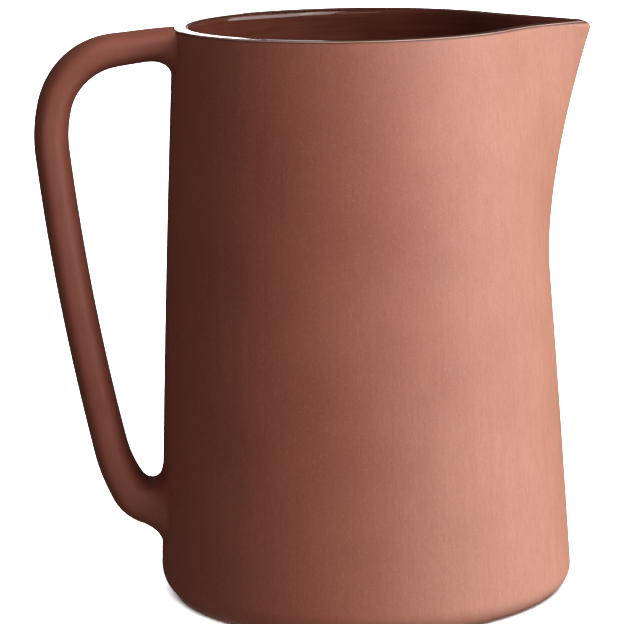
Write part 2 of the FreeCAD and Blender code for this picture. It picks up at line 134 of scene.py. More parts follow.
def outline(turn, height, inset):
    """Distance from the axis to the outline, `inset` inside it, in the direction `turn` from +X.

    The nose is an arc about a centre on the X axis. A flank is an arc that touches both the nose and the
    side; its centre lies outside where the flank is hollow, and inside where it bulges.
    """
    side = side_radius(height)
    share = np.maximum((height - SPOUT_START) / (RIM_HEIGHT - SPOUT_START), 0)
    round_here = share < NO_SPOUT
    share = np.maximum(share, NO_SPOUT)
    nose = NOSE_RADIUS + np.maximum(1 - share, 0) ** NOSE_POWER * (side - NOSE_RADIUS)
    centre = side + share**REACH_POWER * SPOUT_REACH - nose
    lead = centre * math.cos(SPOUT_SPREAD)
    flank = (nose**2 - centre**2 + 2 * side * lead - side**2) / (2 * (side - lead - nose))
    flank_x = (side + flank) * math.cos(SPOUT_SPREAD)
    flank_y = (side + flank) * math.sin(SPOUT_SPREAD)
    across = np.abs(turn)
    along = flank_x * np.cos(across) + flank_y * np.sin(across)
    off = flank_x**2 + flank_y**2 - along**2
    hollow = flank > 0
    sign = np.where(hollow, -1.0, 1.0)
    flank_reach = along + sign * np.sqrt(np.maximum((np.abs(flank) - sign * inset) ** 2 - off, 0))
    meet = np.arctan2(-sign * flank_y, -sign * (flank_x - centre))
    nose_end = np.arctan2((nose - inset) * np.sin(meet), centre + (nose - inset) * np.cos(meet))
    nose_gap = np.maximum((nose - inset) ** 2 - (centre * np.sin(across)) ** 2, 0)
    nose_reach = centre * np.cos(across) + np.sqrt(nose_gap)
    reach = np.where(across < nose_end, nose_reach, flank_reach)
    return np.where(round_here | (across > SPOUT_SPREAD), side - inset, reach)


def rim_height(x):
    """Height of the rim, which dips towards the spout."""
    return RIM_HEIGHT - RIM_TILT * x - np.maximum(x - LIP_START, 0) ** 2 / (2 * LIP_RADIUS)


AROUND = 512  # points round a level, closest together at the spout's nose
NOSE_CLOSENESS = 0.22
RIM_PASSES = 6  # rounds of finding a rim point's height from its place
steps = np.linspace(-1, 1, AROUND, endpoint=False)
TURNS = math.pi * (NOSE_CLOSENESS * steps + (1 - NOSE_CLOSENESS) * steps**3)

# How much each direction is rounded.
RIM_ROUNDS = RIM_ROUND + TIP_ROUND * np.exp(-((TURNS / TIP_WIDTH) ** 2))
GLAZE_STARTS = RIM_ROUNDS + GLAZE_EDGE
MOUTH_ROUNDS = MOUTH_ROUND + MOUTH_WIPE * np.exp(-(((TURNS - MOUTH_WIPE_TURN) / MOUTH_WIPE_WIDTH) ** 2))
FOOT_ROUNDS = FOOT_ROUND + FOOT_WEAR * (1 - np.cos(TURNS)) / 2


def level(inset, height):
    """Points of the outline at one height, or at one height for each direction."""
    height = np.broadcast_to(height, TURNS.shape)
    reach = outline(TURNS, height, inset)
    return np.stack([reach * np.cos(TURNS), reach * np.sin(TURNS), height], axis=1)


def rim_level(inset, drop):
    """Points of the outline that lie `drop` below the rim."""
    points = level(inset, RIM_HEIGHT)
    for _ in range(RIM_PASSES):
        points = level(inset, rim_height(points[:, 0]) - drop)
    return points


def foot_inset(height):
    """How far the rounding of the foot lies inside the side at a height."""
    rest = np.maximum(FOOT_ROUNDS - height, 0)
    return FOOT_ROUNDS - np.sqrt(FOOT_ROUNDS**2 - rest**2)


def heights_up(inset, low, drop, count):
    """Heights in even steps from `low` up to `drop` below the rim, for each direction."""
    top = rim_level(inset, drop)[:, 2]
    return [low + (top - low) * index / count for index in range(count + 1)]


def climb(inset, low, drop, count):
    """Levels of a side that lies `inset` inside the outline, up to `drop` below the rim."""
    return [level(inset, height) for height in heights_up(inset, low, drop, count)]


def outside_climb(low, drop, count):
    """Levels of the outside, from the foot's rounding up to `drop` below the rim."""
    return [level(foot_inset(height), height) for height in heights_up(0, low, drop, count)]


def circle(radius, height):
    """Points of a circle about the axis, in the same directions as a level."""
    return np.stack([radius * np.cos(TURNS), radius * np.sin(TURNS), np.full(AROUND, height)], axis=1)


def corner(inset, floor, radius, count):
    """Circles of the rounding between a flat floor and the tapered side, from the floor to the side."""
    lean = math.atan(-SLOPE)
    touch = floor + radius * (1 + math.sin(lean))
    centre = side_radius(touch) - inset - radius * math.cos(lean)
    rings = []
    for index in range(count + 1):
        turn = -math.pi / 2 + (lean + math.pi / 2) * index / count
        rings.append(circle(centre + radius * math.cos(turn), floor + radius * (1 + math.sin(turn))))
    return rings


def disc(radius, height, count):
    """Circles of a flat disc from near its middle to near its edge."""
    return [circle(radius * index / count, height) for index in range(1, count)]


def quarter(count):
    """Angles from 0 to a right angle in even steps."""
    return [math.pi / 2 * index / count for index in range(count + 1)]


# ---------------------------------------------------------------- meshes

SHARP_ANGLE = math.radians(50)  # faces that meet more sharply than this are not smoothed together


def skin(name, rings, looped=False):
    """A closed mesh through rings of points: looped like a tube, or with a point closing each end."""
    around = len(rings[0])
    points = np.concatenate(rings)
    faces = []
    last = len(rings) if looped else len(rings) - 1
    for row in range(last):
        this = row * around
        above = (row + 1) % len(rings) * around
        for column in range(around):
            beside = (column + 1) % around
            faces.append((this + column, this + beside, above + beside, above + column))
    if not looped:
        middle = len(points)
        points = np.vstack([points, rings[0].mean(axis=0), rings[-1].mean(axis=0)])
        top = (len(rings) - 1) * around
        for column in range(around):
            beside = (column + 1) % around
            faces.append((middle, beside, column))
            faces.append((middle + 1, top + column, top + beside))
    mesh = bpy.data.meshes.new(name)
    mesh.from_pydata([tuple(point) for point in points], [], faces)
    mesh.shade_smooth()
    mesh.set_sharp_from_angle(angle=SHARP_ANGLE)
    mesh.update()
    piece = bpy.data.objects.new(name, mesh)
    bpy.context.scene.collection.objects.link(piece)
    return piece


def finish_piece(piece, material, node):
    """Give a piece its material and slot, and let it ride in place of a CAD node."""
    piece.data.materials.append(material)
    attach(piece, "root")
    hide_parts(node)


# How many rings each stretch of the meshes has.
FOOT_RINGS = 20
SIDE_RINGS = 110
RIM_EDGE_RINGS = 7
MOUTH_RINGS = 12
INSIDE_RINGS = 90
CORNER_RINGS = 12
FLOOR_RINGS = 14
# The faces between wall and glaze are not seen.
HIDDEN_SIDE_RINGS = 24
HIDDEN_CORNER_RINGS = 8
HIDDEN_FLOOR_RINGS = 4


def base_piece():
    """The slab: flat underside, rounded foot and a short stretch of side up to the wall."""
    last_turn = np.arccos(1 - np.minimum(FOOT_SHARE * BASE_TOP / FOOT_ROUNDS, 1))
    turns = [last_turn * index / FOOT_RINGS for index in range(FOOT_RINGS + 1)]
    heights = [FOOT_ROUNDS * (1 - np.cos(turn)) for turn in turns]
    foot = [level(foot_inset(height), height) for height in heights]
    side = level(foot_inset(BASE_TOP), BASE_TOP)
    underside = [foot[0] * share for share in (0.1, 0.4, 0.7, 0.95)]
    top = [side * (share, share, 1) for share in (0.9, 0.5, 0.1)]
    return skin("pitcher_base", underside + foot + [side] + top)


def wall_piece():
    """The wall: outside, rounded clay edge of the rim, and the inside that the glaze covers."""
    clay_drop = GLAZE_THICKNESS
    outside = outside_climb(BASE_TOP, clay_drop + RIM_ROUNDS, SIDE_RINGS)
    edge = []
    for turn in quarter(RIM_EDGE_RINGS)[1:]:
        inset = RIM_ROUNDS * (1 - math.cos(turn))
        edge.append(rim_level(inset, clay_drop + RIM_ROUNDS * (1 - math.sin(turn))))
    top = []
    for share in (0.3, 0.7, 1):
        top.append(rim_level(RIM_ROUNDS * (1 - share) + WALL_THICKNESS * share, clay_drop))
    inside = climb(WALL_THICKNESS, BASE_TOP, clay_drop, HIDDEN_SIDE_RINGS)
    return skin("pitcher_wall", outside + edge + top + inside[-2::-1], looped=True)


def glaze_piece():
    """The glaze: a thin coat from its rounded edge on the rim, over the mouth and down to the floor."""
    inset = WALL_THICKNESS + GLAZE_THICKNESS
    bead = []
    for turn in quarter(RIM_EDGE_RINGS):
        out = GLAZE_STARTS + GLAZE_BEAD * (1 - math.cos(turn))
        bead.append(rim_level(out, GLAZE_THICKNESS - GLAZE_BEAD * math.sin(turn)))
    flat_end = inset - MOUTH_ROUNDS
    flat_start = GLAZE_STARTS + GLAZE_BEAD
    flat = [rim_level(flat_start * (1 - share) + flat_end * share, 0) for share in (0.1, 0.35, 0.65, 0.9)]
    mouth = []
    for turn in quarter(MOUTH_RINGS):
        mouth_inset = inset - MOUTH_ROUNDS * (1 - math.sin(turn))
        mouth.append(rim_level(mouth_inset, MOUTH_ROUNDS * (1 - math.cos(turn))))
    bend = corner(inset, FLOOR_TOP, COIL_ROUND - GLAZE_THICKNESS, CORNER_RINGS)
    inside = climb(inset, bend[-1][0, 2], MOUTH_ROUNDS, INSIDE_RINGS)
    floor = disc(bend[0][:, 0].max(), FLOOR_TOP, FLOOR_RINGS)
    seen = floor + bend + inside[1:-1] + mouth[::-1] + flat[::-1] + bead[::-1]
    back_bend = corner(WALL_THICKNESS, BASE_TOP, COIL_ROUND, HIDDEN_CORNER_RINGS)
    back = climb(WALL_THICKNESS, back_bend[-1][0, 2], GLAZE_THICKNESS, HIDDEN_SIDE_RINGS)
    hidden = disc(back_bend[0][:, 0].max(), BASE_TOP, HIDDEN_FLOOR_RINGS) + back_bend + back[1:]
    return skin("pitcher_liner_glaze", seen + hidden[::-1])


# ---------------------------------------------------------------- the strap handle

STRAP_WIDTH = 25 * MM
STRAP_THICKNESS = 12.1 * MM
STRAP_ROOT_THICKNESS = 10.2 * MM
STRAP_TAPER = 40 * MM  # length over which it swells from the one to the other
STRAP_SQUARENESS = 2.8  # exponent of its superellipse section: 2 is an ellipse
STRAP_FALL = math.radians(6.9)
STRAP_START = (-57.3 * MM, 196.85 * MM)
STRAP_ARCS = (  # radius in mm, or length where the turn is 0, and turn in degrees
    (25.5, 0),
    (24.7, 67.8),
    (48.7, 20.3),
    (880, 6.9),
    (50.6, 18.9),
    (8.7, 48.9),
    (10.2, 0),
)
ROOT_DEPTH = 4.5 * MM
TOP_SWELL = 0.9 * MM  # the strap thickens towards the wall at both roots
TOP_SWELL_LENGTH = 6 * MM
HEEL_SWELL = 3.6 * MM
HEEL_DROP = 0.3  # share of the heel's swelling that moves it outward
HEEL_SWELL_LENGTH = 8 * MM
STRAP_AROUND = 96
STRAP_FINE_STEPS = 2881  # points along the section by which the others are spaced
STRAP_RINGS = 170
FILLET_RINGS = 14
FILLET_PULL = 0.62  # how squarely a fillet follows the strap and the wall
# Fillets of the two roots, on the strap's inward face, its sides and its outward face.
TOP_REACHES = (9.0 * MM, 1.1 * MM, 0.3 * MM)
TOP_CLIMBS = (5.6 * MM, 1.1 * MM, 0.3 * MM)
HEEL_REACHES = (12.5 * MM, 1.8 * MM, 6.5 * MM)
HEEL_CLIMBS = (6.0 * MM, 1.8 * MM, 4.6 * MM)
TOP_LAP = 1.6 * MM  # how far the upper root laps over the wall on its outward side
ROOT_SEARCH = 16 * MM  # the strap leaves the wall within this distance of its end
ROOT_HALVINGS = 40
FILLET_SINK = 0.04 * MM  # the fillets end a hair inside the wall
FILLET_PROBE = 0.1 * MM  # step along the strap that gives its direction
ROOT_BURY = 2 * MM  # the root's closed end lies this far in and down inside the wall
ROOT_BURY_DROP = 0.6 * MM
TOP_PROUD = 0.03 * MM  # the strap's top stands this far above the rim's clay
TOP_SOFTNESS = 0.3 * MM


def strap_pieces():
    """Length and curvature of each piece of the strap's middle line."""
    pieces = []
    for size, turn in STRAP_ARCS:
        if turn == 0:
            pieces.append((size * MM, 0.0))
        else:
            pieces.append((size * MM * math.radians(turn), 1 / (size * MM)))
    return pieces


STRAP_PIECES = strap_pieces()
STRAP_LENGTH = sum(length for length, _ in STRAP_PIECES)


def strap_frame(distance):
    """Place on the middle line at each distance along it, and the heading there."""
    distance = np.asarray(distance, float)
    x = np.full(distance.shape, STRAP_START[0])
    z = np.full(distance.shape, STRAP_START[1])
    heading = np.full(distance.shape, math.pi + STRAP_FALL)
    for length, curvature in STRAP_PIECES:
        step = np.clip(distance, 0, length)
        turn = curvature * step
        chord = step if curvature == 0 else 2 * np.sin(turn / 2) / curvature
        x = x + chord * np.cos(heading + turn / 2)
        z = z + chord * np.sin(heading + turn / 2)
        heading = heading + turn
        distance = distance - step
    return x, z, heading


def section_angles():
    """Angles of the superellipse that space its points evenly along its edge."""
    fine = np.linspace(0, 2 * math.pi, STRAP_FINE_STEPS)
    across, through = superellipse(fine, STRAP_WIDTH / 2, STRAP_THICKNESS / 2)
    length = np.concatenate([[0], np.cumsum(np.hypot(np.diff(across), np.diff(through)))])
    return np.interp(np.linspace(0, length[-1], STRAP_AROUND, endpoint=False), length, fine)


def superellipse(angle, half_width, half_thickness):
    """Places across and through the strap's section at each angle."""
    power = 2 / STRAP_SQUARENESS
    cos, sin = np.cos(angle), np.sin(angle)
    across = half_width * np.sign(cos) * np.abs(cos) ** power
    through = half_thickness * np.sign(sin) * np.abs(sin) ** power
    return across, through


def section_normals(angle):
    """Parts across and inward of the unit normal of the section at each angle."""
    power = 2 - 2 / STRAP_SQUARENESS
    across = np.sign(np.cos(angle)) * np.abs(np.cos(angle)) ** power / STRAP_WIDTH
    inward = np.sign(np.sin(angle)) * np.abs(np.sin(angle)) ** power / STRAP_THICKNESS
    length = np.hypot(across, inward)
    return across / length, inward / length


SECTION = section_angles()
NORMAL_ACROSS, NORMAL_INWARD = section_normals(SECTION)


def swelling(size, length, from_end):
    """Growth of half the strap's thickness near an end: whole inside the wall, then dying out."""
    return size * np.exp(-np.maximum(from_end - ROOT_DEPTH, 0) / length)


def strap_points(distance):
    """Points of the strap's surface, one for each point of the section, each at its own distance."""
    x, z, heading = strap_frame(distance)
    share = np.clip((distance - ROOT_DEPTH) / STRAP_TAPER, 0, 1)
    eased = share * share * (3 - 2 * share)
    thickness = STRAP_ROOT_THICKNESS + eased * (STRAP_THICKNESS - STRAP_ROOT_THICKNESS)
    top = swelling(TOP_SWELL, TOP_SWELL_LENGTH, distance)
    heel = swelling(HEEL_SWELL, HEEL_SWELL_LENGTH, STRAP_LENGTH - distance)
    across, inward = superellipse(SECTION, STRAP_WIDTH / 2 + top + heel, thickness / 2 + top + heel)
    inward = inward + top - HEEL_DROP * heel
    points = np.stack([x - inward * np.sin(heading), across, z + inward * np.cos(heading)], axis=1)
    return below_rim(points)


def below_rim(points):
    """The strap's top runs level into the clay of the rim."""
    limit = rim_height(points[:, 0]) - GLAZE_THICKNESS + TOP_PROUD
    over = points[:, 2] - limit
    points[:, 2] = limit + (over - np.sqrt(over**2 + TOP_SOFTNESS**2)) / 2
    return points


def strap_normals(distance):
    """Unit normals of the strap's surface, without its swelling, at each distance along it."""
    heading = strap_frame(distance)[2]
    return np.stack(
        [-NORMAL_INWARD * np.sin(heading), NORMAL_ACROSS, NORMAL_INWARD * np.cos(heading)], axis=1
    )


def wall_crossing(at_top, inset):
    """Distance along the strap at which each line of its surface leaves the wall, near one end."""
    inside = np.full(STRAP_AROUND, 0.0 if at_top else STRAP_LENGTH)
    outside = inside + (ROOT_SEARCH if at_top else -ROOT_SEARCH)
    for _ in range(ROOT_HALVINGS):
        middle = (inside + outside) / 2
        points = strap_points(middle)
        buried = np.hypot(points[:, 0], points[:, 1]) < side_radius(points[:, 2]) - inset
        inside = np.where(buried, middle, inside)
        outside = np.where(buried, outside, middle)
    return inside


def on_wall(points, sink):
    """The points moved to the wall's surface, or `sink` under it."""
    radius = np.hypot(points[:, 0], points[:, 1])
    scale = (side_radius(points[:, 2]) - sink) / radius
    return points * np.stack([scale, scale, np.ones_like(scale)], axis=1)


def by_side(sizes):
    """A size for each line of the strap's surface, from its inward, side and outward values."""
    inward, side, outward = sizes
    more_inward = (inward - side) * np.maximum(NORMAL_INWARD, 0)
    more_outward = (outward - side) * np.maximum(-NORMAL_INWARD, 0)
    return side + more_inward + more_outward


def unit(vectors):
    """The vectors scaled to length 1."""
    return vectors / np.linalg.norm(vectors, axis=1)[:, None]


def root_rings(at_top, reaches, climbs, lap):
    """Rings from inside the wall out to the plain strap, and the distances where the plain strap starts.

    The fillet of a root reaches along the strap and climbs the wall. On its outward side the root may lap
    over the wall.
    """
    reach = by_side(reaches)
    climbed = by_side(climbs)
    inset = lap * np.clip(-2 * NORMAL_INWARD, 0, 1)
    crossing = wall_crossing(at_top, inset)
    direction = 1 if at_top else -1
    leave = crossing + direction * reach
    start = strap_points(leave)
    to_wall = unit(strap_points(leave - direction * FILLET_PROBE) - start)
    corner_points = strap_points(crossing)
    out = unit(corner_points * np.array([1, 1, 0]))
    normals = strap_normals(crossing)
    spread = unit(normals - (normals * out).sum(axis=1)[:, None] * out)
    foot = on_wall(corner_points + spread * climbed[:, None], FILLET_SINK)
    foot = np.where((inset > 0)[:, None], foot - out * inset[:, None], foot)
    if at_top:
        foot = below_rim(foot)
    first = start + to_wall * (FILLET_PULL * reach)[:, None]
    second = foot - spread * (FILLET_PULL * climbed)[:, None]
    rings = []
    for index in range(FILLET_RINGS + 1):
        share = index / FILLET_RINGS
        rest = 1 - share
        pulled = 3 * second * rest**2 * share + 3 * first * rest * share**2
        rings.append(foot * rest**3 + pulled + start * share**3)
    buried = foot - out * ROOT_BURY - np.array([0, 0, ROOT_BURY_DROP])
    return [buried] + rings, leave


def strap_piece():
    """The strap, from inside the wall at the rim to inside the wall at the heel."""
    top, top_start = root_rings(True, TOP_REACHES, TOP_CLIMBS, lap=TOP_LAP)
    heel, heel_start = root_rings(False, HEEL_REACHES, HEEL_CLIMBS, lap=0)
    plain = []
    for index in range(1, STRAP_RINGS):
        share = index / STRAP_RINGS
        plain.append(strap_points(top_start * (1 - share) + heel_start * share))
    return skin("pitcher_handle", top + plain + heel[::-1])


# ---------------------------------------------------------------- materials

MIX_COLOUR_A, MIX_COLOUR_B, MIX_COLOUR_OUT = 6, 7, 2  # where the Mix node keeps its colour sockets

# Painted light and shade: the clay is painted redder towards the handle, on the shaded side, and paler
# towards the spout, on the side the key light falls on. The photo's hue changes that way.
SHADE_TO_LIGHT_HALF = 30 * MM  # the change starts this far behind the axis
SHADE_TO_LIGHT_SHIFT = 28 * MM  # and ends this much further than that in front of it
SHADE_TO_LIGHT_WANDER = 60 * MM  # how much a soft noise moves its edges

# Clay colours. Those in pairs are the darker and lighter ends of a soft mottling.
SHADED_SIDE_CLAY = ((0.350, 0.088, 0.051), (0.405, 0.112, 0.067))
LIT_SIDE_CLAY = ((0.342, 0.150, 0.093), (0.405, 0.183, 0.117))
CLAY_CLOUD = (0.445, 0.165, 0.106)
CLAY_STREAK = (0.345, 0.108, 0.067)
CLAY_DRAG = (0.28, 0.085, 0.052)
CLAY_GRAIN = (0.56, 0.23, 0.16)
CLAY_SPECK = (0.20, 0.065, 0.045)
CLAY_WORN = (0.50, 0.235, 0.165)
# painted shade: the strap's darker clay stands in for the shade the body casts on the handle
CLAY_HANDLE_SHADE = (0.24, 0.060, 0.036)
GLAZE_LINE = (0.085, 0.030, 0.020)
SLIP = ((0.34, 0.13, 0.09), (0.42, 0.165, 0.115))
WEAR_HEIGHT = 3 * MM  # height up to which the foot is rubbed pale

# Glaze colours.
GLAZE = ((0.063, 0.017, 0.010), (0.086, 0.024, 0.015))
GLAZE_TROWEL = (0.115, 0.035, 0.023)
GLAZE_SPECK = (0.06, 0.020, 0.013)
# painted highlight: the pale colour of the bright line along the rim
PAINTED_RIM_HIGHLIGHT = (0.42, 0.27, 0.21)


class Nodes:
    """A short way to write the nodes of a material."""

    def __init__(self, name):
        self.material = bpy.data.materials.new(name)
        self.material.use_nodes = True
        self.tree = self.material.node_tree
        self.shader = self.tree.nodes["Principled BSDF"]
        self.place = self.add("ShaderNodeTexCoord").outputs["Object"]

    def add(self, kind, **settings):
        """A new node with its settings."""
        node = self.tree.nodes.new(kind)
        for key, value in settings.items():
            setattr(node, key, value)
        return node

    def link(self, source, target):
        """Join an output to an input."""
        self.tree.links.new(source, target)

    def stretched(self, scale):
        """The place in the object, scaled on each axis."""
        node = self.add("ShaderNodeMapping")
        node.inputs["Scale"].default_value = scale
        self.link(self.place, node.inputs["Vector"])
        return node.outputs["Vector"]

    def noise(self, scale, detail=3.0, roughness=0.55, place=None):
        """A noise about 0.5, over the object or over a stretched place."""
        node = self.add("ShaderNodeTexNoise")
        node.inputs["Scale"].default_value = scale
        node.inputs["Detail"].default_value = detail
        node.inputs["Roughness"].default_value = roughness
        self.link(place or self.place, node.inputs["Vector"])
        return node.outputs["Fac"]

    def ramp(self, value, low, high, start=0.0, end=1.0):
        """The value mapped from low..high to start..end, clamped at its ends."""
        node = self.add("ShaderNodeMapRange")
        node.inputs["From Min"].default_value = low
        node.inputs["From Max"].default_value = high
        node.inputs["To Min"].default_value = start
        node.inputs["To Max"].default_value = end
        self.link(value, node.inputs["Value"])
        return node.outputs["Result"]

    def math(self, operation, first, second):
        """The result of an operation on two values, each a number or a socket."""
        node = self.add("ShaderNodeMath", operation=operation)
        for socket, value in zip(node.inputs, (first, second)):
            if isinstance(value, (int, float)):
                socket.default_value = value
            else:
                self.link(value, socket)
        return node.outputs["Value"]

    def mix(self, share, first, second):
        """A colour between two, each a tuple or a socket."""
        node = self.add("ShaderNodeMix", data_type="RGBA")
        self.link(share, node.inputs["Factor"])
        for index, value in ((MIX_COLOUR_A, first), (MIX_COLOUR_B, second)):
            socket = node.inputs[index]
            if isinstance(value, tuple):
                socket.default_value = (*value, 1)
            else:
                self.link(value, socket)
        return node.outputs[MIX_COLOUR_OUT]

    def axis(self, name):
        """One coordinate of the point being shaded."""
        node = self.add("ShaderNodeSeparateXYZ")
        self.link(self.place, node.inputs["Vector"])
        return node.outputs[name]

    def bump(self, value, distance, strength=1.0, normal=None):
        """A normal tilted by a height, on top of another normal if one is given."""
        node = self.add("ShaderNodeBump")
        node.inputs["Strength"].default_value = strength
        node.inputs["Distance"].default_value = distance
        self.link(value, node.inputs["Height"])
        if normal is not None:
            self.link(normal, node.inputs["Normal"])
        return node.outputs["Normal"]

    def set(self, **values):
        """Set the shader's sockets, with _ for a space in their names, and give back the material."""
        for name, value in values.items():
            socket = self.shader.inputs[name.replace("_", " ")]
            if isinstance(value, (int, float, tuple)):
                socket.default_value = value
            else:
                self.link(value, socket)
        return self.material


def stoneware_material(name, glazed_rim=False, handle_shade=False):
    """Unglazed red-brown clay: soft mottling, fine grain, upright drag marks, a few small specks and
    painted light and shade.
    """
    n = Nodes(name)
    mottle = n.noise(38, detail=4)
    cloud = n.noise(9, detail=2)
    streak = n.noise(1, detail=5, roughness=0.65, place=n.stretched((300, 300, 26)))
    drag = n.noise(1, detail=3, roughness=0.7, place=n.stretched((1000, 1000, 260)))
    grain = n.noise(1500, detail=2, roughness=0.7)
    specks = n.ramp(n.noise(900, detail=1), 0.73, 0.78)
    # Painted light and shade: a redder clay for the shaded handle side and a paler one for the lit spout
    # side, blended along X.
    red = n.mix(n.ramp(mottle, 0.3, 0.7), *SHADED_SIDE_CLAY)
    pale = n.mix(n.ramp(mottle, 0.3, 0.7), *LIT_SIDE_CLAY)
    place = n.math("ADD", n.axis("X"), n.math("MULTIPLY", n.math("SUBTRACT", cloud, 0.5), SHADE_TO_LIGHT_WANDER))
    body = n.mix(n.ramp(place, -SHADE_TO_LIGHT_HALF, SHADE_TO_LIGHT_HALF + SHADE_TO_LIGHT_SHIFT), red, pale)
    body = n.mix(n.ramp(cloud, 0.35, 0.65, 0, 0.25), body, CLAY_CLOUD)
    body = n.mix(n.ramp(streak, 0.40, 0.70, 0, 0.35), body, CLAY_STREAK)
    body = n.mix(n.ramp(drag, 0.45, 0.70, 0, 0.3), body, CLAY_DRAG)
    body = n.mix(n.ramp(grain, 0.52, 0.76, 0, 0.4), body, CLAY_GRAIN)
    body = n.mix(n.math("MULTIPLY", specks, 0.35), body, CLAY_SPECK)
    low = n.ramp(n.axis("Z"), 0, WEAR_HEIGHT, 1, 0)
    wear = n.math("MULTIPLY", low, n.ramp(n.noise(300), 0.4, 0.6, 0.1, 0.5))
    body = n.mix(wear, body, CLAY_WORN)
    # Painted shade: the strap's clay is darkened in soft patches, for the shade that the body casts on the
    # handle.
    if handle_shade:
        body = n.mix(n.ramp(n.noise(70), 0.3, 0.7, 0.5, 0.76), body, CLAY_HANDLE_SHADE)
    if glazed_rim:
        body = n.mix(rim_line(n), body, GLAZE_LINE)
    rough = n.ramp(n.noise(160), 0.3, 0.7, 0.56, 0.66)
    normal = n.bump(streak, 0.10 * MM, 0.5)
    normal = n.bump(drag, 0.08 * MM, 0.45, normal)
    normal = n.bump(grain, 0.07 * MM, 0.6, normal)
    return n.set(Base_Color=body, Roughness=rough, Normal=normal, Specular_IOR_Level=0.75)


def rim_line(n):
    """The dark line where the glaze ends: strong at the top of the bare clay, none a little below it."""
    along = n.math("MAXIMUM", n.math("SUBTRACT", n.axis("X"), LIP_START), 0)
    lip = n.math("DIVIDE", n.math("MULTIPLY", along, along), 2 * LIP_RADIUS)
    top = n.math("SUBTRACT", RIM_HEIGHT - GLAZE_THICKNESS, n.math("MULTIPLY", n.axis("X"), RIM_TILT))
    drop = n.math("SUBTRACT", n.math("SUBTRACT", top, lip), n.axis("Z"))
    uneven = n.math("MULTIPLY", n.math("SUBTRACT", n.noise(420, detail=2), 0.5), 0.25 * MM)
    return n.ramp(n.math("ADD", drop, uneven), 0.20 * MM, 0.60 * MM, 0.92, 0)


def glaze_material():
    """Clear gloss over the clay: deeper and browner, with faint level trowel marks under it."""
    n = Nodes("liner_glaze")
    trowel = n.noise(1, detail=3, place=n.stretched((28, 28, 520)))
    mottle = n.noise(60, detail=4)
    body = n.mix(n.ramp(mottle, 0.3, 0.7), *GLAZE)
    body = n.mix(n.ramp(trowel, 0.4, 0.7, 0, 0.5), body, GLAZE_TROWEL)
    specks = n.ramp(n.noise(900, detail=1), 0.73, 0.78)
    body = n.mix(n.math("MULTIPLY", specks, 0.4), body, GLAZE_SPECK)
    # Painted highlight: the glaze's outward-facing edge on the rim is painted pale, a bright line along the
    # rim.
    body = n.mix(n.math("MULTIPLY", rim_highlight_mask(n), 0.85), body, PAINTED_RIM_HIGHLIGHT)
    rough = n.ramp(n.noise(90), 0.3, 0.7, 0.07, 0.13)
    normal = n.bump(trowel, 0.12 * MM, 0.35)
    normal = n.bump(n.noise(220, detail=2), 0.08 * MM, 0.25, normal)
    return n.set(Base_Color=body, Roughness=rough, Normal=normal, IOR=1.5)


def rim_highlight_mask(n):
    """1 where the glaze faces out from the axis, which it only does at its thin edge on the rim. It masks
    the rim's painted highlight.
    """
    outward = n.add("ShaderNodeVectorMath", operation="MULTIPLY")
    n.link(n.place, outward.inputs[0])
    outward.inputs[1].default_value = (1, 1, 0)
    direction = n.add("ShaderNodeVectorMath", operation="NORMALIZE")
    n.link(outward.outputs["Vector"], direction.inputs[0])
    facing = n.add("ShaderNodeVectorMath", operation="DOT_PRODUCT")
    n.link(direction.outputs["Vector"], facing.inputs[0])
    n.link(n.add("ShaderNodeNewGeometry").outputs["Normal"], facing.inputs[1])
    return n.ramp(facing.outputs["Value"], 0.45, 0.75)


def slip_material():
    """Fired slip in the joints: much the same clay, with a finer grain."""
    n = Nodes("joint_slip")
    mottle = n.noise(200, detail=4)
    grain = n.noise(2000, detail=2)
    body = n.mix(n.ramp(mottle, 0.3, 0.7), *SLIP)
    normal = n.bump(grain, 0.05 * MM, 0.6)
    return n.set(Base_Color=body, Roughness=n.ramp(mottle, 0.3, 0.7, 0.75, 0.9), Normal=normal)


# ---------------------------------------------------------------- the pitcher

stoneware = stoneware_material("stoneware")
rimmed_stoneware = stoneware_material("rimmed_stoneware", glazed_rim=True)
shaded_handle_stoneware = stoneware_material("shaded_handle_stoneware", handle_shade=True)
glaze = glaze_material()
slip = slip_material()

coat = glaze_piece()
strap = strap_piece()
finish_piece(base_piece(), stoneware, "base_slab")
finish_piece(wall_piece(), rimmed_stoneware, "body_wall")
finish_piece(strap, shaded_handle_stoneware, "handle")
finish_piece(coat, glaze, "liner_glaze")

for node, material in (
    ("inner_seam_coil", stoneware),
    ("base_joint_slip", slip),
    ("upper_joint_slip", slip),
    ("lower_joint_slip", slip),
):
    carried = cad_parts[node].data.materials
    carried.clear()
    carried.append(material)

# ---------------------------------------------------------------- floor, light and camera

VIEW_TURN = math.radians(-3.68)  # the camera looks along +Y turned by this about Z
CAMERA_SIDE = -16.55 * MM
CAMERA_DISTANCE = 997.3 * MM
CAMERA_HEIGHT = 296.3 * MM
CAMERA_PITCH = math.radians(11.22)
CAMERA_ROLL = math.radians(-1.77)
CAMERA_LENS = 166.0  # millimetres, as Blender counts lenses and sensors
CAMERA_SENSOR = 36
CAMERA_REACH = (0.05, 100)  # nearest and farthest distance seen

TURN = Matrix.Rotation(VIEW_TURN, 3, "Z")


